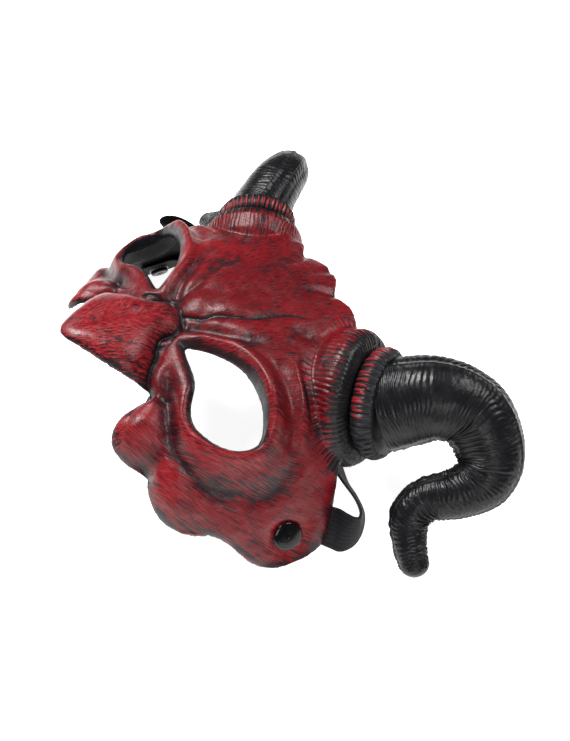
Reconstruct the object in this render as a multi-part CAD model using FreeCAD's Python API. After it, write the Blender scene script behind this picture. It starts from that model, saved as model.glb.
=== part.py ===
import FreeCAD, Part
import math
import os
from FreeCAD import Vector

# Horned half mask, millimetres. The mask lies on its back, as it is stored: +Z is up and the way the
# face looks, +Y runs from the nose to the forehead, +X is the wearer's left. Shapes are drawn about the
# root of the nose and shifted at the end, so that the origin is under the middle of the whole mask.

ROW_SHIFT = Vector(0, -34.4, 0)

# face shell
SHELL_THICKNESS = 2.0
SECTION_STEP_X = 15.0        # the outer face: stations along y, with heights at this spacing from the middle
FACE_SECTIONS = [
    (-45.0, (50.0, 48.5, 42.0, 33.0, 23.0, 11.0, 0.0, -10.0)),
    (-35.0, (52.0, 51.0, 47.0, 39.0, 29.0, 16.0, 3.0, -8.0)),
    (-20.0, (55.5, 55.0, 52.5, 47.0, 39.0, 22.5, 8.0, -5.0)),
    (-5.0, (59.0, 58.5, 56.5, 54.5, 49.0, 32.0, 11.0, -6.0)),
    (10.0, (61.0, 60.0, 58.5, 57.0, 52.0, 37.5, 11.0, -5.5)),
    (25.0, (62.0, 61.5, 60.5, 58.5, 54.0, 38.0, 13.0, -3.0)),
    (40.0, (62.0, 61.0, 59.5, 56.0, 48.0, 31.0, 11.0, -2.0)),
    (55.0, (60.0, 59.0, 57.0, 51.0, 41.0, 27.0, 8.0, -5.0)),
    (70.0, (57.0, 56.0, 54.0, 48.0, 37.0, 23.0, 5.0, -8.0)),
    (85.0, (51.0, 50.0, 48.0, 42.0, 31.0, 18.0, 0.0, -12.0)),
]
NOSE_ROOT_Y = 5.0
NOSE_TIP = Vector(0, -41.2, 70.9)
NOSE_ROOT_HEIGHT = 60.6
NOSE_ROOT_HALF_WIDTH = 4.0
NOSE_WIDENING = 1.04         # growth of the nose's half width per mm towards the tip
NOSE_RIDGE = 0.2             # roundness of the ridge, as a share of the half width

# horn line at the wearer's left: collar centre, direction, and the horn's centre line with its half widths
COLLAR_CENTRE = Vector(58.5, 62.4, 36.0)
COLLAR_AXIS = Vector(0.77, 0.52, 0.37)
COLLAR_FLATNESS = 0.83       # the collar, cuff and horn are a little flatter from front to back
HORN_FRONT = Vector(0.55, -0.45, 0.70)
HORN_FLATNESS = 0.83
HORN_WALL = 2.0
HORN_START = 15.3            # distance of the horn's base from the collar centre, along the axis
HORN_LINE = [
    (Vector(78.2, 84.0, 49.2), 17.0),
    (Vector(89.2, 94.4, 46.8), 15.2),
    (Vector(102.6, 95.6, 38.0), 13.2),
    (Vector(108.8, 90.2, 30.0), 11.8),
    (Vector(107.8, 80.6, 24.2), 10.3),
    (Vector(103.4, 70.4, 19.4), 9.0),
    (Vector(104.9, 62.0, 14.8), 8.2),
    (Vector(113.6, 57.4, 9.6), 7.0),
    (Vector(121.2, 55.6, 6.2), 6.2),
]
HORN_BASE_HALF_WIDTH = 19.5
HORN_TIP_LENGTH = 4.6
HORN_TIP = [(0.35, 0.93), (0.7, 0.7), (0.95, 0.3)]   # share of the tip's length, share of the last half width
VENT_RADIUS = 0.4
HORN_SECTIONS = 27

# rivets and strap
RIVET_X = 90.6
RIVET_Y = 14.0
CAP_RADIUS = 6.0
CAP_HEIGHT = 2.4
CAP_SEAT = 0.4
POST_RADIUS = 2.0
POST_HOLE_RADIUS = 2.1
WASHER_RADIUS = 5.5
WASHER_THICKNESS = 0.8
BACK_RADIUS = 5.0
BACK_THICKNESS = 2.0
STRAP_WIDTH = 18.0
STRAP_THICKNESS = 1.2
STRAP_GAP = 0.6              # between the shell's inner face and the strap end
STRAP_END_FRONT_Y = 5.0
STRAP_END_BACK_Y = 20.3
STRAP_END_CORNER = 4.0       # corners taken off the back of the strap end, which the loop swings past
STRAP_SECTIONS = 120
STRAP_REJOIN = 8             # pair of the left side with which the raised right side goes on

# lower and upper edge of the elastic loop at the wearer's left, from the strap end to the middle of the back
STRAP_LOOP = [
    (Vector(93.4, 22.4, 1.6), Vector(82.8, 22.4, 16.1)),
    (Vector(95.8, 26.4, 0.8), Vector(83.8, 31.0, 11.6)),
    (Vector(99.2, 29.6, 0.7), Vector(87.6, 38.4, 9.2)),
    (Vector(101.9, 32.2, 0.6), Vector(93.2, 40.0, 13.2)),
    (Vector(102.9, 36.0, 0.6), Vector(97.0, 41.0, 16.6)),
    (Vector(101.6, 40.8, 0.6), Vector(97.8, 42.6, 17.9)),
    (Vector(97.5, 46.0, 0.6), Vector(94.5, 44.4, 18.2)),
    (Vector(91.5, 50.0, 0.6), Vector(88.5, 44.6, 17.4)),
    (Vector(83.5, 51.0, 0.6), Vector(81.2, 43.8, 16.8)),
    (Vector(76.0, 50.6, 0.6), Vector(74.6, 43.6, 16.8)),
    (Vector(68.0, 52.0, 0.6), Vector(67.0, 45.6, 17.2)),
    (Vector(58.0, 54.2, 0.6), Vector(57.4, 49.6, 17.8)),
    (Vector(46.0, 56.0, 0.6), Vector(45.6, 53.6, 18.2)),
    (Vector(25.0, 57.2, 0.6), Vector(25.0, 56.5, 18.6)),
    (Vector(8.0, 57.4, 0.6), Vector(8.0, 57.2, 18.6)),
]

# the first pairs at the wearer's right, mirrored, where the loop stands up before it turns back
RAISED_LOOP = [
    (Vector(93.4, 22.4, 1.6), Vector(82.8, 22.4, 16.1)),
    (Vector(95.8, 26.4, 0.8), Vector(83.8, 31.0, 11.6)),
    (Vector(99.4, 29.8, 0.8), Vector(88.0, 38.8, 10.0)),
    (Vector(103.4, 31.0, 4.6), Vector(97.0, 35.5, 20.5)),
    (Vector(105.6, 34.0, 9.6), Vector(104.0, 27.5, 26.0)),
    (Vector(105.4, 38.0, 11.6), Vector(106.0, 30.5, 28.4)),
    (Vector(103.0, 41.6, 9.4), Vector(103.6, 37.0, 27.4)),
    (Vector(98.8, 45.2, 5.2), Vector(98.6, 42.4, 23.0)),
    (Vector(91.6, 49.6, 1.6), Vector(90.0, 45.0, 19.0)),
]


def cubic(values, at):
    """Smooth interpolation of evenly spaced values, with straight run-outs past both ends."""
    padded = [2 * values[0] - values[1]] + list(values) + [2 * values[-1] - values[-2]]
    start = min(max(int(math.floor(at)), 0), len(values) - 2)
    t = at - start
    a, b, c, d = padded[start:start + 4]
    return b + t * (c - a + t * (2 * a - 5 * b + 4 * c - d + t * (3 * (b - c) + d - a))) / 2


def dome_height(x, y):
    """Height of the face without its nose, from the sections."""
    stations = [station for station, _ in FACE_SECTIONS]
    last = max(i for i, station in enumerate(stations) if station <= y or i == 0)
    last = min(last, len(stations) - 2)
    row = last + (y - stations[last]) / (stations[last + 1] - stations[last])
    across = min(abs(x) / SECTION_STEP_X, 7.0)
    heights = [cubic((levels[1],) + levels, across + 1) for _, levels in FACE_SECTIONS]
    return cubic(heights, row)


def face_height(x, y):
    """Height of the outer face at x, y: the dome, with the nose standing on it below the nose root."""
    base = dome_height(x, y)
    below_root = NOSE_ROOT_Y - y
    if below_root <= 0:
        return base
    half_width = NOSE_ROOT_HALF_WIDTH + NOSE_WIDENING * below_root
    share = abs(x) / half_width
    if share >= 1:
        return base
    rise = (NOSE_TIP.z - NOSE_ROOT_HEIGHT) / (NOSE_ROOT_Y - NOSE_TIP.y)
    ridge = NOSE_ROOT_HEIGHT + rise * below_root
    foot = dome_height(half_width, y)
    bend = (math.hypot(share, NOSE_RIDGE) - NOSE_RIDGE) / (math.hypot(1, NOSE_RIDGE) - NOSE_RIDGE)
    return max(base, ridge + (foot - ridge) * bend)


def face_normal(x, y):
    step = 0.5
    slope_x = (face_height(x + step, y) - face_height(x - step, y)) / (2 * step)
    slope_y = (face_height(x, y + step) - face_height(x, y - step)) / (2 * step)
    return Vector(-slope_x, -slope_y, 1).normalize()


def block_under(depth):
    """Everything under the face, taken in by depth along its normals."""
    rows = []
    for i in range(-20, 21):
        row = []
        for j in range(-11, 19):
            x = 5.0 * i
            y = 5.0 * j
            point = Vector(x, y, face_height(x, y))
            row.append(point - face_normal(x, y) * depth)
        rows.append(row)
    surface = Part.BSplineSurface()
    surface.interpolate(rows)
    return surface.toShape().extrude(Vector(0, 0, -130))


def mirrored(shape):
    return shape.mirror(Vector(0, 0, 0), Vector(1, 0, 0))


def curve(points):
    spline = Part.BSplineCurve()
    spline.interpolate([Vector(x, y, 0) for x, y in points])
    return spline.toShape()


def straight(start, end):
    return Part.LineSegment(Vector(*start, 0), Vector(*end, 0)).toShape()


def prism(edges, low, high):
    wire = Part.Wire(Part.__sortEdges__(edges))
    wire.translate(Vector(0, 0, low))
    return Part.Face(wire).extrude(Vector(0, 0, high - low))


def outline_prism():
    """Plan of the face: nose, two cheek lobes, temple, then the line under the collar and the top edge."""
    nose_notch = (28.0, -18.0)
    lobe_notch = (54.0, -29.4)
    cheek_corner = (79.0, -17.0)
    temple_back = (83.5, 39.0)
    under_collar = (78.0, 43.0)
    collar_top = (36.5, 72.5)
    half = [
        straight((0, NOSE_TIP.y), nose_notch),
        curve([nose_notch, (32.0, -23.0), (35.0, -31.0), (40.5, -36.3), (47.5, -34.8), lobe_notch]),
        curve([lobe_notch, (60.5, -31.6), (66.5, -31.2), (73.0, -27.0), cheek_corner]),
        curve([cheek_corner, (86.1, -8.1), (92.2, -3.0), (96.2, 3.0), (98.2, 10.5), (98.2, 18.5),
               (96.2, 27.2), (91.2, 33.2), temple_back]),
        straight(temple_back, under_collar),
        straight(under_collar, collar_top),
        curve([collar_top, (30.5, 74.0), (24.0, 75.6), (16.2, 72.0), (9.0, 75.8), (0, 77.2)]),
    ]
    other = [mirrored(edge) for edge in half]
    return prism(half + other, -60, 140)


def eye_prism():
    """Almond eye hole with a drawn-out inner corner."""
    corner = (18.5, 1.0)
    rim = curve([corner, (22.5, 6.0), (31.5, 14.0), (42.0, 18.8), (52.0, 19.6), (61.0, 17.2), (66.0, 12.8),
                 (65.5, 6.0), (61.5, -1.0), (56.0, -5.2), (50.0, -6.9), (44.0, -5.2), (37.0, -1.0),
                 (28.0, 0.4), corner])
    return prism([rim], 0, 120)


def turned(profile, centre, axis):
    """Solid turned from (along, radius) points about an axis through centre."""
    points = [Vector(radius, 0, along) for along, radius in profile]
    points.append(points[0])
    solid = Part.Face(Part.makePolygon(points)).revolve(Vector(0, 0, 0), Vector(0, 0, 1), 360)
    solid.Placement = FreeCAD.Placement(centre, FreeCAD.Rotation(Vector(0, 0, 1), axis))
    return solid


def flattened(profile):
    """Solid turned about the horn's axis at the collar, then made flatter from front to back."""
    solid = turned(profile, Vector(0, 0, 0), Vector(0, 0, 1))
    squash = FreeCAD.Matrix()
    squash.scale(COLLAR_FLATNESS, 1.0, 1.0)
    solid = solid.transformGeometry(squash)
    along = Vector(COLLAR_AXIS).normalize()
    front = (HORN_FRONT - along * HORN_FRONT.dot(along)).normalize()
    turn = FreeCAD.Rotation(front, along.cross(front), along, "ZXY")
    solid.Placement = FreeCAD.Placement(COLLAR_CENTRE, turn)
    return solid


def collar():
    """First pleated ring, moulded with the face, closed by a flange round the horn's sleeve."""
    profile = [(-16, 26.0), (-9, 29.2), (-1, 29.6), (3, 27.0), (5, 21.5), (5, 14.7), (3, 14.7),
               (2.2, 22.5), (-1, 27.0), (-9, 26.8), (-16, 23.6)]
    return flattened(profile)


def horn_cuff():
    """Second pleated ring, with the sleeve that joins horn and face."""
    profile = [(2, 12.5), (2, 14.5), (5.1, 14.5), (5.1, 20.5), (7.5, 23.2), (10.5, 23.8), (13, 22.8),
               (15.2, 20.8), (15.2, 14.5), (19, 14.5), (19, 12.5)]
    return flattened(profile)


def rivet_frame():
    """Point on the outer face at the rivet, and the outward normal there."""
    point = Vector(RIVET_X, RIVET_Y, face_height(RIVET_X, RIVET_Y))
    normal = face_normal(RIVET_X, RIVET_Y)
    normal.y = 0
    return point, normal.normalize()


def on_rivet(profile):
    point, normal = rivet_frame()
    return turned(profile, point, normal)


def face_shell():
    plan = outline_prism()
    inside = block_under(SHELL_THICKNESS)
    shell = block_under(0).cut(inside).common(plan)
    shell = shell.cut(eye_prism()).cut(mirrored(eye_prism()))
    ring = collar().cut(inside.common(plan))
    shell = shell.fuse([ring, mirrored(ring)])
    above_floor = Part.makeBox(400, 400, 200, Vector(-200, -200, 0))
    shell = shell.common(above_floor)
    seat = on_rivet([(-CAP_SEAT, 0), (-CAP_SEAT, CAP_RADIUS + 0.5), (6, CAP_RADIUS + 0.5), (6, 0)])
    hole = on_rivet([(-9, 0), (-9, POST_HOLE_RADIUS), (6, POST_HOLE_RADIUS), (6, 0)])
    bore = seat.fuse(hole)
    return shell.cut([bore, mirrored(bore)]).removeSplitter()


def horn_stations():
    """Centre, along, side and front directions and half width, at even steps from base to tip."""
    axis = Vector(COLLAR_AXIS).normalize()
    points = [COLLAR_CENTRE + axis * HORN_START] + [point for point, _ in HORN_LINE]
    widths = [HORN_BASE_HALF_WIDTH] + [width for _, width in HORN_LINE]
    line = Part.BSplineCurve()
    tip_direction = (points[-1] - points[-2]).normalize()
    line.interpolate(points, InitialTangent=axis, FinalTangent=tip_direction)
    knots = [line.parameter(point) for point in points]
    stations = []
    for step in range(HORN_SECTIONS + 1):
        at = step * (len(points) - 1) / HORN_SECTIONS
        span = min(int(at), len(points) - 2)
        place = knots[span] + (at - span) * (knots[span + 1] - knots[span])
        along = line.tangent(place)[0]
        front = (HORN_FRONT - along * HORN_FRONT.dot(along)).normalize()
        stations.append((line.value(place), along, along.cross(front), front, cubic(widths, at)))
    return stations


def half_ellipse(centre, side, front, width, thickness):
    points = []
    for step in range(9):
        angle = math.pi * step / 8
        points.append(centre + side * (width * math.cos(angle)) + front * (thickness * math.sin(angle)))
    arc = Part.BSplineCurve()
    arc.interpolate(points)
    return arc.toShape()


def horn_half(facing):
    """One moulded half of the left horn: facing is 1 for the front half and -1 for the back half."""
    sections = [(*station, HORN_WALL) for station in horn_stations()]
    centre, along, side, front, width, _ = sections[-1]
    for share, size in HORN_TIP:
        tip_centre = centre + along * (HORN_TIP_LENGTH * share)
        tip_width = width * size
        sections.append((tip_centre, along, side, front, tip_width, tip_width * HORN_FLATNESS - VENT_RADIUS))
    wires = []
    for centre, _, side, front, width, wall in sections:
        thickness = HORN_FLATNESS * width
        outer = half_ellipse(centre, side, front, width, thickness * facing)
        inner = half_ellipse(centre, side, front, width - wall, (thickness - wall) * facing)
        near_lip = Part.makeLine(inner.Vertexes[0].Point, outer.Vertexes[0].Point)
        far_lip = Part.makeLine(outer.Vertexes[1].Point, inner.Vertexes[1].Point)
        wires.append(Part.Wire([near_lip, outer, far_lip, inner.reversed()]))
    return Part.makeLoft(wires, True, False)


def rivet_cap():
    """Domed cap with the post that goes through shell, strap end and washer."""
    stack = SHELL_THICKNESS + STRAP_GAP + STRAP_THICKNESS + WASHER_THICKNESS + BACK_THICKNESS
    rim = -CAP_SEAT
    profile = [(-stack + 0.3, 0), (-stack + 0.3, POST_RADIUS), (rim, POST_RADIUS), (rim, CAP_RADIUS - 0.3)]
    for step in range(7):
        angle = math.pi / 2 * step / 6
        along = rim + 0.5 + (CAP_HEIGHT - 0.5) * math.sin(angle)
        profile.append((along, CAP_RADIUS * math.cos(angle) ** 0.6))
    return on_rivet(profile)


def rivet_washer():
    outer = -(SHELL_THICKNESS + STRAP_GAP + STRAP_THICKNESS)
    inner = outer - WASHER_THICKNESS
    return on_rivet([(outer, POST_HOLE_RADIUS), (outer, WASHER_RADIUS), (inner, WASHER_RADIUS),
                     (inner, POST_HOLE_RADIUS)])


def rivet_back():
    outer = -(SHELL_THICKNESS + STRAP_GAP + STRAP_THICKNESS + WASHER_THICKNESS)
    inner = outer - BACK_THICKNESS
    lip = 0.5
    return on_rivet([(outer, POST_RADIUS), (outer, BACK_RADIUS), (inner + lip, BACK_RADIUS),
                     (inner, BACK_RADIUS - lip), (inner, POST_RADIUS)])


def strap_end():
    """Flat end of the elastic, between shell and washer, with a hole for the post."""
    point, normal = rivet_frame()
    across = normal.cross(Vector(0, 1, 0))
    top = point - normal * (SHELL_THICKNESS + STRAP_GAP)
    half = STRAP_WIDTH / 2
    cut_y = STRAP_END_BACK_Y - STRAP_END_CORNER
    cut_half = half - STRAP_END_CORNER
    outline = [(STRAP_END_FRONT_Y, -half), (STRAP_END_FRONT_Y, half), (cut_y, half),
               (STRAP_END_BACK_Y, cut_half), (STRAP_END_BACK_Y, -cut_half), (cut_y, -half)]
    corners = [top + across * side + Vector(0, y - RIVET_Y, 0) for y, side in outline]
    corners.append(corners[0])
    band = Part.Face(Part.makePolygon(corners)).extrude(normal * -STRAP_THICKNESS)
    hole = on_rivet([(-12, 0), (-12, POST_HOLE_RADIUS), (6, POST_HOLE_RADIUS), (6, 0)])
    return band.cut(hole)


def elastic_strap():
    """Loop of elastic between the two strap ends, lofted through thin rectangles across its width."""
    raised = RAISED_LOOP + STRAP_LOOP[STRAP_REJOIN:]
    right = []
    for low, high in reversed(raised):
        right.append((Vector(-low.x, low.y, low.z), Vector(-high.x, high.y, high.z)))
    pairs = STRAP_LOOP + right
    middle_line = Part.BSplineCurve()
    middle_line.interpolate([(low + high) * 0.5 for low, high in pairs])
    knots = [middle_line.parameter((low + high) * 0.5) for low, high in pairs]
    lower_line = Part.BSplineCurve()
    lower_line.interpolate([low for low, _ in pairs], Parameters=knots)
    upper_line = Part.BSplineCurve()
    upper_line.interpolate([high for _, high in pairs], Parameters=knots)
    wires = []
    for step in range(STRAP_SECTIONS + 1):
        place = knots[0] + (knots[-1] - knots[0]) * step / STRAP_SECTIONS
        low = lower_line.value(place)
        high = upper_line.value(place)
        along = middle_line.tangent(place)[0]
        out = along.cross(high - low).normalize() * (STRAP_THICKNESS / 2)
        wires.append(Part.makePolygon([low - out, low + out, high + out, high - out, low - out]))
    return Part.makeLoft(wires, True, True)


def save(name, shape):
    shape = shape.copy()
    shape.translate(ROW_SHIFT)
    if len(shape.Solids) != 1:
        raise ValueError(f"{name} has {len(shape.Solids)} solids")
    shape = shape.Solids[0]
    box = shape.optimalBoundingBox()
    print(name, "valid" if shape.isValid() else "NOT VALID", round(shape.Volume),
          [round(v, 2) for v in (box.XMin, box.XMax, box.YMin, box.YMax, box.ZMin, box.ZMax)])
    shape.exportStep(f"parts/{name}.step")


def save_pair(pattern, shape):
    """The same piece for both sides of the face."""
    save(pattern.format("left"), shape)
    save(pattern.format("right"), mirrored(shape))


os.makedirs("parts", exist_ok=True)
save("face_shell", face_shell())
save_pair("horn_{}_cuff", horn_cuff())
save_pair("horn_{}_front", horn_half(1))
save_pair("horn_{}_back", horn_half(-1))
save_pair("rivet_{}_cap", rivet_cap())
save_pair("rivet_{}_back", rivet_back())
save_pair("washer_{}", rivet_washer())
save_pair("strap_end_{}", strap_end())
save("elastic_strap", elastic_strap())
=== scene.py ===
import itertools
import math

import bpy
import numpy as np
from mathutils import Matrix, Vector


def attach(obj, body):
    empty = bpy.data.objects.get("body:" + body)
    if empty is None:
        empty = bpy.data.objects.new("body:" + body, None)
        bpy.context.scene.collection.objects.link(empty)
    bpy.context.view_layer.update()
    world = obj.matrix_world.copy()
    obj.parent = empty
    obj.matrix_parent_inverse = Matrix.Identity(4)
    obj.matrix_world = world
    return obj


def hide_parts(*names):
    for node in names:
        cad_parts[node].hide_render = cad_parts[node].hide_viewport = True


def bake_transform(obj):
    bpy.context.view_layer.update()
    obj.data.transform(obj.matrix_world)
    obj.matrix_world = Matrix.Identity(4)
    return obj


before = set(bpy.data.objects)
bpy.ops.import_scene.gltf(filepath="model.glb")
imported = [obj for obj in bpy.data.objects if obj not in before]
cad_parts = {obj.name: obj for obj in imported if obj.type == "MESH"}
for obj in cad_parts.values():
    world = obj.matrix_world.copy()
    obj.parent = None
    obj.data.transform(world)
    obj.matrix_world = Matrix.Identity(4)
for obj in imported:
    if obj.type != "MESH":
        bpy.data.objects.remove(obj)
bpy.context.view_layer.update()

# Horned half mask, moulded in painted plastic, with an elastic strap. Shapes are worked out in
# millimetres about the root of the nose, as the part is designed, and moved to the frame at the end.

MM = 0.001
ROW_SHIFT = np.array([0.0, -34.4, 0.0])

# ---------------------------------------------------------------- sizes shared with the part, millimetres

NOSE_ROOT = np.array([0.0, 5.0])
NOSE_ROOT_HALF_WIDTH = 4.0
NOSE_WIDENING = 1.04
COLLAR_CENTRE = np.array([58.5, 62.4, 36.0])
COLLAR_AXIS = np.array([0.77, 0.52, 0.37])
COLLAR_FLATNESS = 0.83
HORN_FRONT = np.array([0.55, -0.45, 0.70])
HORN_FLATNESS = 0.83
HORN_START = 15.3
HORN_BASE_HALF_WIDTH = 19.5
HORN_LINE = [
    (78.2, 84.0, 49.2, 17.0),
    (89.2, 94.4, 46.8, 15.2),
    (102.6, 95.6, 38.0, 13.2),
    (108.8, 90.2, 30.0, 11.8),
    (107.8, 80.6, 24.2, 10.3),
    (103.4, 70.4, 19.4, 9.0),
    (104.9, 62.0, 14.8, 8.2),
    (113.6, 57.4, 9.6, 7.0),
    (121.2, 55.6, 5.8, 6.2),
]
HORN_TIP_LENGTH = 4.4
OUTLINE = [(0.0, -41.2), (14.0, -29.6), (28.0, -18.0), (32.0, -23.0), (35.0, -31.0), (40.5, -36.3),
           (47.5, -34.8), (54.0, -29.4), (60.5, -31.6), (66.5, -31.2), (73.0, -27.0), (79.0, -17.0),
           (86.1, -8.1), (92.2, -3.0), (96.2, 3.0), (98.2, 10.5), (98.2, 18.5), (96.2, 27.2),
           (91.2, 33.2), (83.5, 39.0)]
RIVET_POINT = np.array([90.6, 14.0, 10.7])
RIVET_NORMAL = np.array([0.81, 0.0, 0.587])
CAP_RADIUS = 6.0
STRAP_THICKNESS = 1.2
STRAP_PAIRS = [
    ((93.4, 5.0, 1.6), (82.8, 5.0, 16.1)),
    ((93.4, 14.0, 1.6), (82.8, 14.0, 16.1)),
    ((93.4, 22.4, 1.6), (82.8, 22.4, 16.1)),
    ((95.8, 26.4, 0.9), (83.8, 31.0, 11.6)),
    ((99.2, 29.6, 0.8), (87.6, 38.4, 9.2)),
    ((101.9, 32.2, 0.8), (93.2, 40.0, 13.2)),
    ((102.7, 36.0, 0.8), (97.0, 41.0, 16.6)),
    ((101.4, 40.8, 0.8), (97.8, 42.6, 17.9)),
    ((97.5, 46.0, 0.8), (94.5, 44.4, 18.2)),
    ((91.5, 50.0, 0.8), (88.5, 44.6, 17.4)),
    ((83.5, 51.0, 0.8), (81.2, 43.8, 16.8)),
    ((76.0, 50.6, 0.8), (74.6, 43.6, 16.8)),
    ((68.0, 52.0, 0.8), (67.0, 45.6, 17.2)),
    ((58.0, 54.2, 0.8), (57.4, 49.6, 17.8)),
    ((46.0, 56.0, 0.8), (45.6, 53.6, 18.2)),
    ((25.0, 57.0, 0.8), (25.0, 56.5, 18.4)),
    ((8.0, 57.2, 0.8), (8.0, 57.0, 18.4)),
]

RAISED_PAIRS = [
    ((99.4, 29.8, 0.8), (88.0, 38.8, 10.0)),
    ((104.5, 28.6, 4.6), (99.0, 32.0, 20.5)),
    ((107.2, 30.0, 9.2), (105.6, 23.6, 25.4)),
    ((107.2, 34.0, 11.2), (107.6, 26.6, 27.6)),
    ((104.8, 38.6, 9.2), (105.2, 33.6, 27.0)),
    ((99.4, 44.0, 5.2), (99.2, 41.0, 23.0)),
    ((91.6, 49.6, 1.6), (90.0, 45.0, 19.0)),
]
EYE = [(18.5, 1.0), (22.5, 6.0), (31.5, 14.0), (42.0, 18.8), (52.0, 19.6), (61.0, 17.2), (66.0, 12.8),
       (65.5, 6.0), (61.5, -1.0), (56.0, -5.2), (50.0, -6.9), (44.0, -5.2), (37.0, -1.0), (28.0, 0.4),
       (18.5, 1.0)]

# Folds of the face: a line in plan, its rise at both ends, its half width and how black the wash is; the
# black wash also paints shade into the folds, and a negative amount lightens the ridges.
NOSE_EDGE = [(0.0, 5.6), (7.5, 4.3), (10.2, 0.7), (11.4, -3.2), (12.8, -6.5), (16.3, -9.3), (19.1, -11.0),
             (22.4, -14.1), (28.5, -18.6)]
BROAD_FOLDS = [
    (NOSE_EDGE, -1.8, -2.0, 2.6, 0.16),
    ([(4.0, 5.8), (8.3, 11.0), (10.3, 17.0), (14.0, 24.0), (17.4, 31.0), (19.2, 39.0), (22.0, 47.0)],
     -1.5, -0.7, 2.4, 0.15),
    ([(8.0, 5.0), (13.8, 9.8), (20.0, 16.4), (27.1, 24.4), (33.0, 33.0)], -4.0, -0.6, 2.8, 0.25),
    ([(16.5, 4.8), (22.7, 12.5), (29.0, 19.4), (37.0, 23.4), (47.2, 25.0), (56.0, 25.2), (63.1, 23.8),
      (68.5, 20.4)], 2.0, 1.9, 2.2, -0.2),
    ([(40.0, 31.0), (50.0, 31.4), (59.0, 29.6), (66.0, 26.0), (71.5, 21.5)], -2.2, -2.0, 3.4, 0.05),
    ([(43.0, 41.5), (54.1, 38.4), (61.0, 35.0), (67.6, 31.2), (73.5, 27.0)], 1.2, 1.8, 2.4, -0.2),
    ([(38.0, -3.8), (45.4, -9.6), (51.1, -10.0), (57.0, -8.2), (62.6, -4.4), (66.6, -0.2), (69.4, 5.0),
      (70.6, 11.0)], 1.0, 1.4, 2.4, -0.2),
    ([(27.0, -9.5), (36.0, -12.4), (44.4, -15.3), (52.4, -16.7), (59.0, -15.6), (66.4, -12.2), (71.6, -7.4),
      (75.4, -1.6), (77.6, 4.3), (78.6, 11.5), (77.6, 19.0), (74.0, 26.0)], -3.4, -2.8, 3.0, 0.42),
    ([(54.0, -31.0), (53.0, -25.0), (51.0, -20.0)], -3.4, -0.4, 3.0, 0.15),
    ([(30.0, -20.0), (33.0, -15.5), (38.0, -13.0)], -2.2, -0.8, 2.6, 0.15),
    ([(28.0, 45.0), (38.0, 52.0), (44.0, 60.0)], -1.0, -0.6, 3.0, 0.2),
    ([(10.0, 58.0), (12.0, 66.0), (16.0, 73.0)], -0.4, -2.2, 2.6, 0.15),
    ([(30.0, 60.0), (30.5, 67.0), (31.0, 75.0)], -0.3, -1.6, 2.6, 0.15),
    ([(0.0, 62.0), (0.0, 78.0)], 0.0, -1.2, 2.2, 0.12),
]
# centre in plan, reach and height
BULGES = [((43.0, -27.0), 8.5, 5.6), ((67.0, -20.5), 9.5, 4.2), ((16.0, 13.0), 5.0, 0.9),
          ((9.0, 24.0), 6.0, 1.0), ((0.0, 15.0), 4.5, 1.2), ((84.0, -2.0), 8.0, 1.2)]
BLUNT_Y = -40.2              # the end of the beak is blunted beyond this
BLUNT_REACH = 2.0
BEAK_HALF_WIDTH = 28.0
BEAK_SIDE = (0.64, 0.77)     # outward across the side of the beak, in plan
BEAK_SWELL = 10.0
CHEEK_LOBE = np.array([41.0, -36.0])
CHEEK_LOBE_REACH = 9.0
CHEEK_LOBE_SHIFT = np.array([0.0, -1.6, 0.8])
NOSE_TIP_SHIFT = np.array([0.0, -3.2, 0.2])
# the crack down the forehead from the inner corner of the eye, deeper at the wearer's left
NEAR_CRACK = [(3.6, 5.6), (8.0, 11.0), (9.6, 14.0), (10.6, 18.5), (14.6, 24.4), (16.6, 28.0),
              (18.6, 33.5), (19.2, 39.0), (22.0, 47.0), (26.1, 54.1)]
CRACKS = [
    (NOSE_EDGE, -1.6, -1.5, 0.6, 1.0),
    ([(11.0, 0.6), (13.5, -1.5), (15.4, -4.6), (15.6, -8.6)], -0.9, -0.9, 0.5, 0.9),
]


# ---------------------------------------------------------------- small mathematics

def unit(vectors):
    return vectors / np.maximum(np.linalg.norm(vectors, axis=-1, keepdims=True), 1e-12)


def smooth(low, high, values):
    """0 below low, 1 above high, smooth between; low may be above high."""
    share = np.clip((values - low) / (high - low), 0, 1)
    return share * share * (3 - 2 * share)


def spline(points, count):
    """Smooth curve through the points, at count even steps of the point number."""
    points = np.asarray(points, float)
    ends = np.vstack([2 * points[0] - points[1], points, 2 * points[-1] - points[-2]])
    at = np.linspace(0, len(points) - 1, count)
    first = np.minimum(at.astype(int), len(points) - 2)
    t = (at - first)[:, None]
    a, b, c, d = (ends[first + k] for k in range(4))
    return b + t * (c - a + t * (2 * a - 5 * b + 4 * c - d + t * (3 * (b - c) + d - a))) / 2


def even(line, count):
    """The same line, with count points evenly spaced along its length."""
    steps = np.r_[0, np.cumsum(np.linalg.norm(np.diff(line[:, :3], axis=0), axis=1))]
    at = np.linspace(0, steps[-1], count)
    return np.stack([np.interp(at, steps, line[:, k]) for k in range(line.shape[1])], 1)


def to_line(plan, points):
    """Distance of each plan point from a smooth line, and how far along the line that is, from 0 to 1."""
    line = spline(points, 8 * len(points))
    best = np.full(len(plan), 1e9)
    share = np.zeros(len(plan))
    for k in range(len(line) - 1):
        step = line[k + 1] - line[k]
        t = np.clip(((plan - line[k]) @ step) / max(step @ step, 1e-9), 0, 1)
        away = np.linalg.norm(plan - line[k] - t[:, None] * step, axis=1)
        nearer = away < best
        best[nearer] = away[nearer]
        share[nearer] = (k + t[nearer]) / (len(line) - 1)
    return best, share


def lumps(points, size, seed):
    """Smooth random values from -1 to 1, with lumps of that size."""
    table = np.random.default_rng(seed).uniform(-1, 1, 4096)
    cells = np.asarray(points, float) / size
    corner = np.floor(cells).astype(int)
    part = cells - corner
    part = part * part * (3 - 2 * part)
    total = np.zeros(len(cells))
    for offset in itertools.product((0, 1), repeat=3):
        key = ((corner + offset) @ np.array([1, 57, 887])) % len(table)
        weight = np.prod(np.where(np.array(offset) == 1, part, 1 - part), axis=1)
        total += weight * table[key]
    return total


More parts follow.
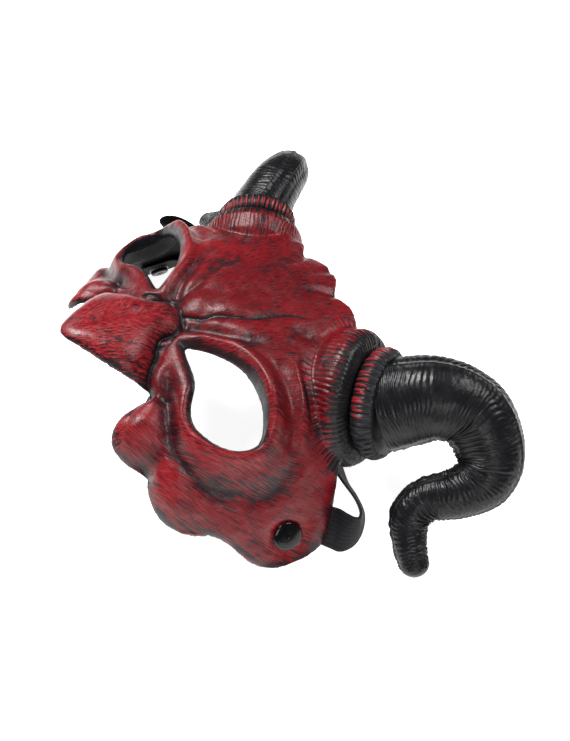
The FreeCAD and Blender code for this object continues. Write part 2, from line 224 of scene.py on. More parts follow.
# ---------------------------------------------------------------- meshes

def grid_faces(rows, columns):
    """Quads of a tube whose rings are rows long and closed across its columns."""
    r, c = np.meshgrid(np.arange(rows - 1), np.arange(columns), indexing="ij")
    n = (c + 1) % columns
    corners = [r * columns + c, r * columns + n, (r + 1) * columns + n, (r + 1) * columns + c]
    return np.stack(corners, -1).reshape(-1, 4)


def add_piece(name, points, faces, material, body, nodes):
    """A smooth mesh piece from millimetre points, riding on a body and standing for CAD nodes."""
    mesh = bpy.data.meshes.new(name)
    mesh.from_pydata(((points + ROW_SHIFT) * MM).tolist(), [], [list(map(int, face)) for face in faces])
    mesh.validate()
    mesh.shade_smooth()
    mesh.materials.append(material)
    piece = bpy.data.objects.new(name, mesh)
    bpy.context.scene.collection.objects.link(piece)
    if body:
        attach(piece, body)
    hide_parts(*nodes)
    return piece


def set_layer(piece, name, values):
    """Stores a number or a vector for each vertex, for the material to read."""
    values = np.asarray(values, np.float32)
    kind, field = ("FLOAT_VECTOR", "vector") if values.ndim == 2 else ("FLOAT", "value")
    layer = piece.data.attributes.new(name, kind, "POINT")
    layer.data.foreach_set(field, values.ravel())


def vertex_normals(mesh):
    normals = np.zeros(len(mesh.vertices) * 3, np.float32)
    mesh.vertices.foreach_get("normal", normals)
    return normals.reshape(-1, 3).astype(float)


def positions(mesh):
    """Vertices in design millimetres."""
    flat = np.zeros(len(mesh.vertices) * 3, np.float32)
    mesh.vertices.foreach_get("co", flat)
    return flat.reshape(-1, 3).astype(float) / MM - ROW_SHIFT


def move_to(mesh, points):
    mesh.vertices.foreach_set("co", ((points + ROW_SHIFT) * MM).astype(np.float32).ravel())
    mesh.update()


# ---------------------------------------------------------------- materials

class Shade:
    """Short way to build a node material: each call adds one node and returns its output."""

    def __init__(self, name):
        self.material = bpy.data.materials.new(name)
        self.material.use_nodes = True
        self.nodes = self.material.node_tree.nodes
        self.links = self.material.node_tree.links
        self.surface = self.nodes["Principled BSDF"]

    def feed(self, socket, value):
        if isinstance(value, bpy.types.NodeSocket):
            self.links.new(value, socket)
        else:
            socket.default_value = value

    def layer(self, name, output="Fac"):
        node = self.nodes.new("ShaderNodeAttribute")
        node.attribute_name = name
        return node.outputs[output]

    def place(self):
        return self.nodes.new("ShaderNodeTexCoord").outputs["Object"]

    def noise(self, vector, scale, detail=3.0, roughness=0.55, distortion=0.0):
        node = self.nodes.new("ShaderNodeTexNoise")
        self.feed(node.inputs["Vector"], vector)
        for socket, value in (("Scale", scale), ("Detail", detail), ("Roughness", roughness),
                              ("Distortion", distortion)):
            node.inputs[socket].default_value = value
        return node.outputs["Fac"]

    def sums(self, operation, first, second, third=0.0, clamp=False):
        node = self.nodes.new("ShaderNodeMath")
        node.operation = operation
        node.use_clamp = clamp
        for socket, value in zip(node.inputs, (first, second, third)):
            self.feed(socket, value)
        return node.outputs[0]

    def ramp(self, value, low, high, to_low=0.0, to_high=1.0):
        node = self.nodes.new("ShaderNodeMapRange")
        node.interpolation_type = "SMOOTHSTEP"
        self.feed(node.inputs["Value"], value)
        for socket, number in (("From Min", low), ("From Max", high),
                               ("To Min", to_low), ("To Max", to_high)):
            node.inputs[socket].default_value = number
        return node.outputs["Result"]

    def mix(self, share, first, second):
        node = self.nodes.new("ShaderNodeMix")
        node.data_type = "RGBA"
        self.feed(node.inputs[0], share)
        self.feed(node.inputs[6], first)
        self.feed(node.inputs[7], second)
        return node.outputs[2]

    def bump(self, height, distance, strength=1.0):
        node = self.nodes.new("ShaderNodeBump")
        node.inputs["Strength"].default_value = strength
        node.inputs["Distance"].default_value = distance
        self.feed(node.inputs["Height"], height)
        self.links.new(node.outputs["Normal"], self.surface.inputs["Normal"])

    def done(self, colour, roughness, **fixed):
        self.feed(self.surface.inputs["Base Color"], colour)
        self.feed(self.surface.inputs["Roughness"], roughness)
        for socket, value in fixed.items():
            self.surface.inputs[socket.replace("_", " ")].default_value = value
        return self.material


def red_paint():
    """Deep red paint, blackened in its creases by a black wash with painted shade, streaked with short
    dry-brush strokes, and lightened pink on raised spots by dry brush with a painted sheen.
    """
    shade = Shade("red_paint")
    flow = shade.layer("flow", "Vector")
    # amount of black wash, which also carries painted shade in the folds, cracks and eye rims
    wash_and_shade = shade.layer("wash_and_shade")
    high = shade.layer("high")
    place = shade.place()
    strokes = shade.noise(flow, 1.15, 2.0, 0.5)
    fine = shade.noise(flow, 1.7, 2.0, 0.5)
    patches = shade.noise(place, 70.0, 3.0, 0.6)
    wide = shade.noise(place, 26.0, 2.0, 0.5)
    grime = shade.ramp(patches, 0.38, 0.74, -0.04, 0.09)
    edge = shade.sums("ADD", strokes, shade.sums("MULTIPLY", wash_and_shade, 0.50))
    edge = shade.sums("ADD", edge, grime)
    dark = shade.ramp(edge, 0.555, 0.62)
    red = shade.mix(shade.ramp(wide, 0.35, 0.65), (0.080, 0.0008, 0.0028, 1), (0.150, 0.0011, 0.0042, 1))
    # pink dry brush on the spots marked by the high layer, partly a painted sheen there
    dry_brush_and_sheen = shade.mix(shade.sums("MULTIPLY", high, shade.ramp(fine, 0.42, 0.64), clamp=True), red,
                       (0.27, 0.022, 0.026, 1))
    colour = shade.mix(dark, dry_brush_and_sheen, (0.014, 0.005, 0.007, 1))
    # near black inside the shell and where the wash and painted shade are deepest
    colour = shade.mix(shade.ramp(wash_and_shade, 0.80, 1.0), colour, (0.006, 0.0055, 0.0065, 1))
    height = shade.sums("ADD", shade.sums("MULTIPLY", strokes, 0.6), shade.noise(place, 900.0, 2.0))
    shade.bump(height, 0.00022, 0.55)
    rough = shade.ramp(shade.noise(place, 160.0, 3.0), 0.3, 0.7, 0.30, 0.44)
    inside = shade.layer("inside")
    shade.feed(shade.surface.inputs["Specular IOR Level"], shade.ramp(inside, 0.3, 0.9, 0.26, 0.04))
    return shade.done(colour, rough)


def cuff_paint():
    """Black plastic with red brushed on to the crest of the pleats."""
    shade = Shade("cuff_paint")
    flow = shade.layer("flow", "Vector")
    dust = shade.layer("dust")
    place = shade.place()
    strokes = shade.noise(flow, 1.0, 4.0, 0.6)
    share = shade.ramp(shade.sums("ADD", strokes, shade.sums("MULTIPLY", dust, 0.5)), 0.72, 0.86)
    colour = shade.mix(share, (0.007, 0.007, 0.0085, 1), (0.19, 0.006, 0.010, 1))
    shade.bump(shade.noise(place, 700.0, 3.0), 0.0002, 0.5)
    rough = shade.ramp(shade.noise(place, 200.0), 0.3, 0.7, 0.36, 0.50)
    return shade.done(colour, rough, Specular_IOR_Level=0.25)


def horn_black():
    """Black moulded plastic, satin, greyer along the raised wrinkles."""
    shade = Shade("horn_black")
    place = shade.place()
    raised_grey = shade.layer("raised_grey")
    share = shade.sums("MULTIPLY", raised_grey, shade.ramp(shade.noise(place, 240.0, 4.0), 0.3, 0.7), clamp=True)
    colour = shade.mix(share, (0.0040, 0.0040, 0.0050, 1), (0.022, 0.022, 0.026, 1))
    shade.bump(shade.noise(place, 800.0, 3.0), 0.00018, 0.5)
    rough = shade.ramp(shade.noise(place, 150.0, 3.0), 0.3, 0.7, 0.27, 0.40)
    return shade.done(colour, rough, Specular_IOR_Level=0.22)


def rivet_black():
    shade = Shade("rivet_black")
    place = shade.place()
    colour = shade.mix(shade.ramp(shade.noise(place, 500.0), 0.4, 0.7), (0.0018, 0.0018, 0.0022, 1),
                       (0.0035, 0.0035, 0.004, 1))
    shade.bump(shade.noise(place, 1200.0, 2.0), 0.00005, 0.4)
    rough = shade.ramp(shade.noise(place, 400.0), 0.3, 0.7, 0.10, 0.18)
    return shade.done(colour, rough, Specular_IOR_Level=0.25)


def washer_steel():
    shade = Shade("washer_steel")
    place = shade.place()
    colour = shade.mix(shade.noise(place, 900.0), (0.42, 0.42, 0.43, 1), (0.60, 0.60, 0.60, 1))
    shade.bump(shade.noise(place, 2500.0, 2.0), 0.00004, 0.5)
    return shade.done(colour, shade.ramp(shade.noise(place, 800.0), 0.3, 0.7, 0.28, 0.42), Metallic=1.0)


def elastic_black():
    """Woven elastic: the ribs are in the mesh, the yarns in the material."""
    shade = Shade("elastic_black")
    weave = shade.layer("weave")
    place = shade.place()
    fuzz = shade.noise(place, 2600.0, 3.0)
    light = shade.sums("MULTIPLY", weave, shade.ramp(fuzz, 0.3, 0.7, 0.5, 1.0), clamp=True)
    colour = shade.mix(light, (0.002, 0.002, 0.0025, 1), (0.013, 0.0125, 0.015, 1))
    shade.bump(shade.sums("ADD", weave, shade.sums("MULTIPLY", fuzz, 0.6)), 0.00018, 0.7)
    return shade.done(colour, shade.ramp(fuzz, 0.3, 0.7, 0.55, 0.75), Specular_IOR_Level=0.2)


# ---------------------------------------------------------------- face

def collar_frame():
    along = unit(COLLAR_AXIS)
    front = unit(HORN_FRONT - along * (HORN_FRONT @ along))
    return along, front, np.cross(along, front)


def about_collar(points):
    """Distance along the collar's axis, angle round it and unflattened radius, for the nearer collar."""
    along, front, side = collar_frame()
    nearer = points.copy()
    nearer[:, 0] = np.abs(nearer[:, 0])
    offset = nearer - COLLAR_CENTRE
    ahead = offset @ front / COLLAR_FLATNESS
    beside = offset @ side
    return offset @ along, np.arctan2(beside, ahead), np.hypot(ahead, beside)


def pleats(angle, along, pitch_angle, seed):
    """Irregular pleats across a ring, running along its axis: -1 in the creases, 1 on the crests."""
    drift = lumps(np.stack([np.cos(angle) * 30, np.sin(angle) * 30, along * 1.2], 1), 9.0, seed)
    wave = np.cos(angle * round(2 * math.pi / pitch_angle) + 2.6 * drift)
    other = np.cos(angle * round(2 * math.pi / pitch_angle * 1.63) - 2.0 * drift + along * 0.10)
    return 0.62 * wave + 0.38 * other


def fold_relief(plan, folds):
    """Rise of the surface over the folds, and the black wash and painted shade in them."""
    rise = np.zeros(len(plan))
    wash_and_shade = np.zeros(len(plan))
    for points, start, end, half_width, black in folds:
        away, share = to_line(plan, points)
        fade = np.minimum(1.0, np.minimum(share, 1 - share) * 7 + 0.35)
        shape = np.exp(-(away / half_width) ** 2)
        rise += (start + (end - start) * share) * fade * shape
        wash_and_shade += black * fade * np.exp(-(away / (half_width * 1.15)) ** 2)
    return rise, wash_and_shade


def fine_copy(node, name, voxel):
    """A copy of a CAD node's mesh with even, fine quads."""
    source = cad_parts[node]
    piece = bpy.data.objects.new(name, source.data.copy())
    bpy.context.scene.collection.objects.link(piece)
    remesh = piece.modifiers.new("even", "REMESH")
    remesh.mode = "VOXEL"
    remesh.voxel_size = voxel
    graph = bpy.context.evaluated_depsgraph_get()
    mesh = bpy.data.meshes.new_from_object(piece.evaluated_get(graph))
    piece.modifiers.clear()
    piece.data = mesh
    return piece


def relax(mesh, points, rounds, strength=0.5):
    """Evens out the points over the mesh's edges."""
    ends = np.zeros(len(mesh.edges) * 2, np.int32)
    mesh.edges.foreach_get("vertices", ends)
    a, b = ends[0::2], ends[1::2]
    count = np.bincount(ends, minlength=len(points))[:, None]
    for _ in range(rounds):
        total = np.zeros_like(points)
        for axis in range(3):
            total[:, axis] = (np.bincount(a, points[b, axis], len(points))
                              + np.bincount(b, points[a, axis], len(points)))
        points = points + strength * (total / count - points)
    return points


def face_piece():
    piece = fine_copy("face_shell", "face", 0.0007)
    mesh = piece.data
    points = relax(mesh, positions(mesh), 3)
    half = np.stack([np.abs(points[:, 0]), points[:, 1]], 1)
    axial, angle, radius = about_collar(points)
    on_collar = smooth(23.0, 25.5, radius) * smooth(-17.5, -14.0, axial) * smooth(36, 33, radius)
    on_collar *= smooth(0.0, 3.0, points[:, 2])
    on_flange = smooth(0.5, 1.5, axial) * smooth(13, 14, radius) * smooth(36, 33, radius)
    on_collar = np.maximum(on_collar, on_flange)
    off_collar = 1 - on_collar

    # broad folds move the whole wall
    rise, wash_and_shade = fold_relief(half, BROAD_FOLDS)
    below_root = np.clip(NOSE_ROOT[1] - half[:, 1], 0, None)
    share = half[:, 0] / (NOSE_ROOT_HALF_WIDTH + NOSE_WIDENING * below_root)
    on_nose = smooth(1.04, 0.98, share) * smooth(0, 1.5, below_root)
    rise += 4.8 * np.sin(math.pi * np.clip(share, 0, 1)) * smooth(0, 22, below_root) * on_nose
    for centre, reach, height in BULGES:
        rise += height * np.exp(-(np.linalg.norm(half - np.array(centre), axis=1) / reach) ** 2)
    rise += 1.1 * lumps(points * [1, 1, 0], 17.0, 3) * (1 - on_nose) * smooth(25, 40, half[:, 1])
    to_eye, _ = to_line(half, EYE)
    lateral = smooth(30, 52, half[:, 0]) * smooth(-8, 4, half[:, 1])
    rise += (0.7 + 2.7 * lateral) * np.exp(-((to_eye - 4.4) / 3.2) ** 2) * (1 - on_nose)
    rise -= (1.6 + 1.6 * lateral) * np.clip(1 - to_eye / 3.4, 0, 1) ** 2
    to_edge, _ = to_line(half, OUTLINE)
    rise -= 3.4 * np.clip(1 - to_edge / 5.5, 0, 1) ** 2
    flat_edge = smooth(0, 6, points[:, 2])
    points[:, 2] += rise * off_collar * flat_edge
    lobe = np.exp(-(np.linalg.norm(half - CHEEK_LOBE, axis=1) / CHEEK_LOBE_REACH) ** 2)
    points += CHEEK_LOBE_SHIFT * lobe[:, None]
    along_beak = np.clip(half[:, 0] / BEAK_HALF_WIDTH, 0, 1)
    swell = BEAK_SWELL * along_beak * (1 - along_beak)
    swell *= smooth(14, 1, to_edge) * smooth(-15, -19, half[:, 1])
    points[:, 0] += BEAK_SIDE[0] * swell * np.sign(points[:, 0])
    points[:, 1] -= BEAK_SIDE[1] * swell
    points = relax(mesh, points, 1)
    tip = smooth(15, 4, np.linalg.norm(points - points[np.argmin(points[:, 1])], axis=1))[:, None]
    points = points + (relax(mesh, points, 70) - points) * tip + NOSE_TIP_SHIFT * tip
    past = np.clip(BLUNT_Y - points[:, 1], 0, None)
    pulled_back = past - BLUNT_REACH * np.tanh(past / BLUNT_REACH)
    points[:, 1] += pulled_back * smooth(20, 14, np.abs(points[:, 0]))
    move_to(mesh, points)

    # cracks and pleats cut only the outer side
    normals = vertex_normals(mesh)
    outward = unit(points - np.array([0.0, 20.0, -20.0]))
    facing = np.sum(normals * outward, axis=1)
    _, front, side = collar_frame()
    ring = np.cos(angle)[:, None] * front + np.sin(angle)[:, None] * side
    ring[:, 0] *= np.sign(points[:, 0])
    ring_facing = np.sum(normals * ring, axis=1)
    outer = smooth(0.0, 0.35, facing) * off_collar + smooth(-0.1, 0.3, ring_facing) * on_collar
    depth, crack_wash_and_shade = fold_relief(half, CRACKS)
    frown, frown_wash_and_shade = fold_relief(half, [(NEAR_CRACK, -1.4, -0.3, 0.5, 1.0)])
    near = smooth(-1.0, 1.0, points[:, 0])
    depth += frown * (0.35 + 0.65 * near)
    crack_wash_and_shade += frown_wash_and_shade * (0.15 + 0.85 * near)
    fold = pleats(angle, axial, 0.078, 5)
    envelope = on_collar * smooth(-17, -4, axial) * smooth(6.5, 5.0, axial)
    step = depth * off_collar + 0.30 * fold * envelope
    step += 0.10 * lumps(points, 2.2, 8) + 0.22 * lumps(points, 6.0, 9)
    points = points + normals * (step * outer)[:, None]
    to_rivet = np.linalg.norm(points * [0, 1, 1] + np.abs(points * [1, 0, 0]) - RIVET_POINT, axis=1)
    points -= normals * (0.5 * smooth(11, 7, to_rivet) * outer)[:, None]
    move_to(mesh, points)

    # paint: a black wash, which also paints shade into the folds, cracks, eye rims and collar creases, and
    # pink dry brush with a painted sheen on raised spots
    wash_and_shade = np.clip(wash_and_shade, -0.3, 1) * off_collar + crack_wash_and_shade * off_collar
    ragged = lumps(np.stack([np.cos(angle) * 90, np.sin(angle) * 90, axial * 0.3], 1), 2.6, 12)
    lower = smooth(-0.4, 0.7, np.cos(angle - 2.0))
    wash_and_shade += on_collar * (smooth(-1.0, 3.2, axial + 2.6 * ragged + 2.4 * lower) - 0.30 * fold * envelope)
    wash_and_shade = np.where((radius < 28.0) & (axial > 1.5) & (on_collar > 0.3), 1.0, wash_and_shade)
    # darker round the eye holes: black wash and painted shade on the turned-in rims
    wash_and_shade += (0.6 + 0.5 * lateral) * smooth(3.4, 0.8, to_eye) * (1 - on_nose)
    wash_and_shade += 0.35 * smooth(2.5, 0.5, to_edge)
    wash_and_shade = np.where(outer > 0.5, wash_and_shade, 1.0)
    wash_and_shade = np.maximum(wash_and_shade, 1 - smooth(0.25, 0.6, outer))
    # pink on raised folds, the nose and round the rivet: dry brush, partly a painted sheen
    high = smooth(0.2, 2.0, rise) * 0.6 + smooth(11, 7, to_rivet) * 0.8 + 0.4 * on_nose + 0.25
    from_root = half - NOSE_ROOT
    reach = np.linalg.norm(from_root, axis=1)
    turn = np.arctan2(from_root[:, 0], from_root[:, 1])
    flow = np.stack([reach / 4.2, turn * np.maximum(reach, 1) ** 0.85 * 3.6, points[:, 0] / 20], 1)
    nose_flow = np.stack([(half[:, 1] + 0.5 * half[:, 0]) / 4.2,
                          (half[:, 0] - 0.4 * half[:, 1]) / 0.6, points[:, 2] / 20], 1)
    ring_flow = np.stack([axial / 6.0, angle * 36, points[:, 0] / 20], 1)
    flow = np.where(on_nose[:, None] > 0.5, nose_flow, flow)
    flow = np.where(on_collar[:, None] > 0.5, ring_flow, flow)
    set_layer(piece, "wash_and_shade", np.clip(wash_and_shade, -0.3, 1))
    set_layer(piece, "high", np.clip(high, 0, 1))
    set_layer(piece, "inside", np.clip(1 - outer, 0, 1))
    set_layer(piece, "flow", flow)
    mesh.shade_smooth()
    mesh.materials.clear()
    mesh.materials.append(red_paint())
    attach(piece, "face")
    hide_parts("face_shell")


# ---------------------------------------------------------------- horns and cuffs

def mirror_side(points, side):
    return points * np.array([1.0 if side == "left" else -1.0, 1.0, 1.0])


def horn_rings(count):
    """Centre, direction, side, front and half width at even steps from the horn's base to its tip."""
    axis = unit(COLLAR_AXIS)
    start = np.r_[COLLAR_CENTRE + axis * (HORN_START - 3.0), HORN_BASE_HALF_WIDTH]
    tip = np.array(HORN_LINE[-1])
    before = np.array(HORN_LINE[-2])
    tip = tip + np.r_[unit((tip - before)[:3]) * HORN_TIP_LENGTH, -0.3]
    line = even(spline(np.vstack([start, HORN_LINE, tip]), 400), count)
    centre = line[:, :3]
    along = unit(np.gradient(centre, axis=0))
    front = unit(HORN_FRONT - along * (along @ HORN_FRONT)[:, None])
    return centre, along, np.cross(along, front), front, line[:, 3]


def wrinkles(length, angle, bend, seed):
    """Fine wrinkles across the horn, deeper on the inside of its bends."""
    round_it = np.stack([np.cos(angle) * 14, np.sin(angle) * 14, length], 1)
    wander = lumps(round_it, 7.0, seed)
    twist = lumps(round_it, 18.0, seed + 5)
    phase = length / 1.5 * math.pi + 3.4 * wander + 5.0 * twist
    sharp = 1 - 2 * np.abs(np.sin(phase)) ** 0.6
    weight = smooth(-0.5, 0.6, lumps(round_it * [1, 1, 2.2], 6.0, seed + 2))
    wide = np.cos(length / 3.4 * 2 * math.pi + 3.6 * wander + 3.0 * twist)
    speckle = lumps(round_it * [1, 1, 2.5], 1.6, seed + 1)
    return (-0.19 * sharp * (0.35 + 0.9 * weight + 1.8 * bend) + 0.13 * wide * (0.3 + 3.2 * bend)
            + 0.10 * speckle + 0.25 * lumps(round_it, 9.0, seed + 3))


def horn_pieces(material):
    count, arc = 420, 90
    centre, along, side, front, width = horn_rings(count)
    steps = np.r_[0, np.cumsum(np.linalg.norm(np.diff(centre, axis=0), axis=1))]
    turn = np.gradient(along, axis=0) / np.gradient(steps)[:, None]
    for facing, name in ((1, "front"), (-1, "back")):
        angles = np.linspace(0, math.pi, arc) * facing
        ring_angle = np.tile(angles, count)
        length = np.repeat(steps, arc)
        outward = (np.cos(ring_angle)[:, None] * np.repeat(side, arc, 0)
                   + np.sin(ring_angle)[:, None] * np.repeat(front, arc, 0))
        inside = np.clip(np.sum(outward * np.repeat(turn, arc, 0), axis=1) * 14, 0, 1)
        end = np.clip((length - steps[-1]) / (HORN_TIP_LENGTH * 1.25) + 1, 0, 1)
        round_tip = np.sqrt(np.clip(1 - end ** 2.4, 0.0004, 1))
        half = np.repeat(width, arc) * round_tip
        keel_at = np.minimum(np.abs(ring_angle), math.pi - np.abs(ring_angle))
        knobs = 0.7 + 0.3 * np.cos(length * 1.3 + 2 * np.sin(length * 0.37))
        lower_keel = np.exp(-(ring_angle / 0.15) ** 2) * knobs
        keel = lower_keel + 0.45 * np.exp(-((math.pi - np.abs(ring_angle)) / 0.12) ** 2)
        seam = np.exp(-((ring_angle - math.pi + 0.52) / 0.07) ** 2)
        fade = 1 - end * 0.8
        relief = wrinkles(length, ring_angle, inside, 21) * fade * (1 - 0.5 * keel)
        relief += (0.7 * keel + 0.4 * seam) * (1 - end)
        relief -= 0.40 + 0.35 * np.exp(-((keel_at - 0.34) / 0.12) ** 2) * (1 - end)
        across = (half + relief)[:, None]
        middle = np.repeat(centre, arc, 0)
        outer = middle + (np.cos(ring_angle)[:, None] * np.repeat(side, arc, 0) * across
                          + np.sin(ring_angle)[:, None] * np.repeat(front, arc, 0) * across * HORN_FLATNESS)
        thin = np.maximum(half - 1.8, half * 0.4)[:, None]
        inner = middle + (np.cos(ring_angle)[:, None] * np.repeat(side, arc, 0) * thin
                          + np.sin(ring_angle)[:, None] * np.repeat(front, arc, 0) * thin * HORN_FLATNESS)
        outer = outer.reshape(count, arc, 3)
        inner = inner.reshape(count, arc, 3)[:, ::-1]
        rings = np.concatenate([outer, inner], 1).reshape(-1, 3)
        faces = grid_faces(count, 2 * arc)
        cap = np.arange(2 * arc)
        faces = [tuple(face) for face in faces] + [tuple(cap[::-1]), tuple(cap + (count - 1) * 2 * arc)]
        # greyer on the raised wrinkles and keels of the outer skin
        raised_grey_outer = np.clip(0.4 + 1.6 * relief.reshape(count, arc), 0, 1)
        raised_grey = np.concatenate([raised_grey_outer, np.zeros((count, arc))], 1)
        for where in ("left", "right"):
            flip = (facing == 1) == (where == "left")
            made = [face[::-1] for face in faces] if flip else faces
            piece = add_piece(f"horn_{where}_{name}_skin", mirror_side(rings, where), made, material,
                              "face", [f"horn_{where}_{name}"])
            set_layer(piece, "raised_grey", raised_grey.ravel())


def cuff_pieces(material):
    """Second pleated ring, a rounded roll, with its edge tucked under the first ring and round the horn."""
    along, front, side = collar_frame()
    profile = [(2.6, 14.4), (5.3, 14.6), (5.3, 19.6), (6.0, 21.8), (8.0, 23.3), (10.5, 23.6), (13.0, 22.6),
               (14.6, 21.2), (15.0, 19.4), (15.0, 14.6), (18.8, 14.4), (18.8, 12.7), (2.6, 12.7)]
    line = np.vstack([spline(profile[2:9], 60), profile[9:], profile[:2]])
    turns = 540
    angle = np.repeat(np.linspace(0, 2 * math.pi, turns, endpoint=False), len(line))
    axial = np.tile(line[:, 0], turns)
    radius = np.tile(line[:, 1], turns)
    fold = pleats(angle, axial, 0.13, 31)
    depth = 0.6 * fold * smooth(19.0, 22.0, radius)
    round_it = np.stack([np.cos(angle) * 22, np.sin(angle) * 22, axial], 1)
    depth += 0.35 * lumps(round_it, 5.0, 33) * smooth(19, 22, radius)
    radius = radius + depth - 0.45 * smooth(19, 22, radius)
    points = (COLLAR_CENTRE + along * axial[:, None]
              + front * (np.cos(angle) * radius * COLLAR_FLATNESS)[:, None]
              + side * (np.sin(angle) * radius)[:, None])
    columns = len(line)
    faces = grid_faces(turns + 1, columns) % (turns * columns)
    crest = smooth(21.5, 23.4, np.tile(line[:, 1], turns)) * smooth(13.5, 11.0, axial)
    upper = smooth(-0.2, 0.6, np.cos(angle - 5.2))
    dust = crest * upper * (0.55 + 0.45 * fold)
    flow = np.stack([axial / 5.0, angle * 34, axial * 0], 1)
    for where in ("left", "right"):
        made = faces if where == "right" else faces[:, ::-1]
        piece = add_piece(f"horn_{where}_cuff_skin", mirror_side(points, where), made, material,
                          "face", [f"horn_{where}_cuff"])
        set_layer(piece, "dust", dust)
        set_layer(piece, "flow", flow)


# ---------------------------------------------------------------- rivets and strap

def rivet_caps(material):
    """Glossy domed cap with a faint ring, and its post."""
    normal = unit(RIVET_NORMAL)
    across = np.array([0.0, 1.0, 0.0])
    side = np.cross(normal, across)
    profile = [(-6.6, 0.001), (-6.6, 2.0), (-0.3, 2.0), (-0.3, 5.5), (-0.05, 5.85), (0.4, 6.0)]
    for step in range(1, 26):
        turn = math.pi / 2 * step / 25
        ring = -0.06 * math.exp(-((math.cos(turn) ** 0.6 - 0.72) / 0.035) ** 2)
        profile.append((0.4 + 0.95 * math.sin(turn) + ring, max(CAP_RADIUS * math.cos(turn) ** 0.6, 0.02)))
    line = np.array(profile)
    turns = 96
    angle = np.repeat(np.linspace(0, 2 * math.pi, turns, endpoint=False), len(line))
    axial = np.tile(line[:, 0], turns)[:, None]
    radius = np.tile(line[:, 1], turns)
    points = (RIVET_POINT + normal * axial + side * (np.cos(angle) * radius)[:, None]
              + across * (np.sin(angle) * radius)[:, None])
    columns = len(line)
    open_faces = grid_faces(turns + 1, columns) % (turns * columns)
    faces = open_faces[np.abs(open_faces[:, 0] % columns - open_faces[:, 1] % columns) == 1]
    bottom = np.arange(turns) * columns
    top = bottom + columns - 1
    faces = [tuple(face) for face in faces] + [tuple(bottom[::-1]), tuple(top)]
    for where in ("left", "right"):
        made = faces if where == "right" else [face[::-1] for face in faces]
        add_piece(f"rivet_{where}_cap_dome", mirror_side(points, where), made, material,
                  "face", [f"rivet_{where}_cap"])


def strap_piece(material):
    """One length of ribbed woven elastic, from rivet to rivet."""
    left = [low + high for low, high in STRAP_PAIRS]
    raised = [low + high for low, high in STRAP_PAIRS[:4] + RAISED_PAIRS + STRAP_PAIRS[10:]]
    right = [(-a, b, c, -d, e, f) for a, b, c, d, e, f in reversed(raised)]
    pairs = np.array(left + right)
    count, across = 760, 92
    route = spline(pairs, 1600)
    middle = np.hstack([(route[:, :3] + route[:, 3:]) / 2, route])
    middle = even(middle, count)
    low, high = middle[:, 3:6], middle[:, 6:9]
    along = unit(np.gradient(middle[:, :3], axis=0))
    out = unit(np.cross(along, high - low))
    share = np.linspace(0, 1, across)
    steps = np.r_[0, np.cumsum(np.linalg.norm(np.diff(middle[:, :3], axis=0), axis=1))]
    rows = []
    weave = []
    for face in (1, -1):
        order = share if face == 1 else share[::-1]
        rib = np.abs(np.sin(order * math.pi * 9)) ** 0.6
        thick = STRAP_THICKNESS / 2 * np.minimum(1, (np.minimum(order, 1 - order) * 26 + 0.3) ** 0.5)
        shift = math.pi * np.floor(order * 9)[None, :]
        beat = 0.5 + 0.5 * np.cos(steps[:, None] / 0.85 * 2 * math.pi + shift)
        pile = rib[None, :] * (0.55 + 0.45 * beat)
        thickness = thick[None, :] - 0.22 + 0.22 * pile
        place = low[:, None, :] + (high - low)[:, None, :] * order[None, :, None]
        rows.append(place + out[:, None, :] * (face * thickness)[:, :, None])
        weave.append(pile)
    rings = np.concatenate(rows, 1).reshape(-1, 3)
    faces = [tuple(face) for face in grid_faces(count, 2 * across)]
    cap = np.arange(2 * across)
    faces += [tuple(cap[::-1]), tuple(cap + (count - 1) * 2 * across)]
    piece = add_piece("elastic", rings, faces, material, None,
                      ["elastic_strap", "strap_end_left", "strap_end_right"])
    set_layer(piece, "weave", np.concatenate(weave, 1).ravel())
    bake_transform(piece)
    print("elastic length, mm:", round(float(steps[-1]), 1))


# ---------------------------------------------------------------- room, light and camera

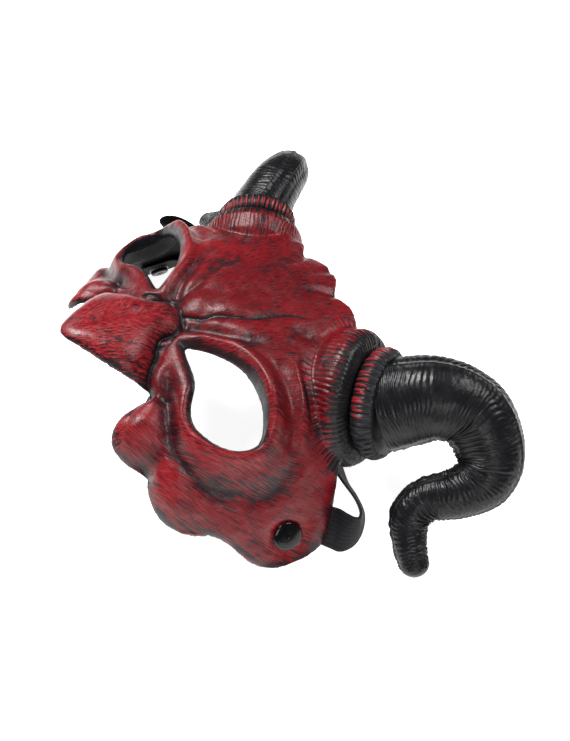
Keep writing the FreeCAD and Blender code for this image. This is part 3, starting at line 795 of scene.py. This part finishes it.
def room():
    """Plain pale floor and soft studio lights."""
    mesh = bpy.data.meshes.new("floor")
    reach = 6.0
    corners = [(-reach, -reach, 0), (reach, -reach, 0), (reach, reach, 0), (-reach, reach, 0)]
    mesh.from_pydata(corners, [], [(0, 1, 2, 3)])
    floor = bpy.data.objects.new("floor", mesh)
    bpy.context.scene.collection.objects.link(floor)
    shade = Shade("floor_paper")
    colour = shade.mix(shade.noise(shade.place(), 3.0), (0.90, 0.90, 0.90, 1), (0.93, 0.93, 0.93, 1))
    mesh.materials.append(shade.done(colour, 0.9, Emission_Color=(1, 1, 1, 1), Emission_Strength=0.90))
    world = bpy.data.worlds.new("studio")
    world.use_nodes = True
    world.node_tree.nodes["Background"].inputs[0].default_value = (1, 1, 1, 1)
    world.node_tree.nodes["Background"].inputs[1].default_value = 0.12
    bpy.context.scene.world = world
    for name, place, size, power in (
        ("key", (-0.42, -0.34, 0.92), 0.36, 17.0),
        ("fill", (0.24, 0.58, 0.92), 0.42, 7.0),
        ("side", (0.85, -0.35, 0.55), 0.35, 2.5),
    ):
        data = bpy.data.lights.new(name, "AREA")
        data.size = size
        data.energy = power
        light = bpy.data.objects.new(name, data)
        light.location = place
        light.rotation_euler = (Vector((0, 0, 0.02)) - Vector(place)).to_track_quat("-Z", "Y").to_euler()
        bpy.context.scene.collection.objects.link(light)


def camera():
    """Camera above the wearer's left cheek, turned so that the nose points left."""
    data = bpy.data.cameras.new("camera")
    data.sensor_fit = "VERTICAL"
    data.sensor_height = 36.0
    data.lens = 28.37
    back = Vector((0.566, -0.259, 0.783)).normalized()
    right = Vector((0.416, 0.909, 0.0)).normalized()
    up = back.cross(right)
    view = bpy.data.objects.new("camera", data)
    turn = Matrix((right, up, back)).transposed().to_4x4()
    view.matrix_world = Matrix.Translation(Vector((0.1759, -0.0605, 0.2363))) @ turn
    bpy.context.scene.collection.objects.link(view)
    bpy.context.scene.camera = view


face_piece()
horn_pieces(horn_black())
cuff_pieces(cuff_paint())
rivet_caps(rivet_black())
strap_piece(elastic_black())
steel = washer_steel()
black = rivet_black()
for where in ("left", "right"):
    for node, material in ((f"washer_{where}", steel), (f"rivet_{where}_back", black)):
        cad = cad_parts[node]
        cad.data.materials.clear()
        cad.data.materials.append(material)
room()
camera()
bpy.context.scene.view_settings.view_transform = "Standard"
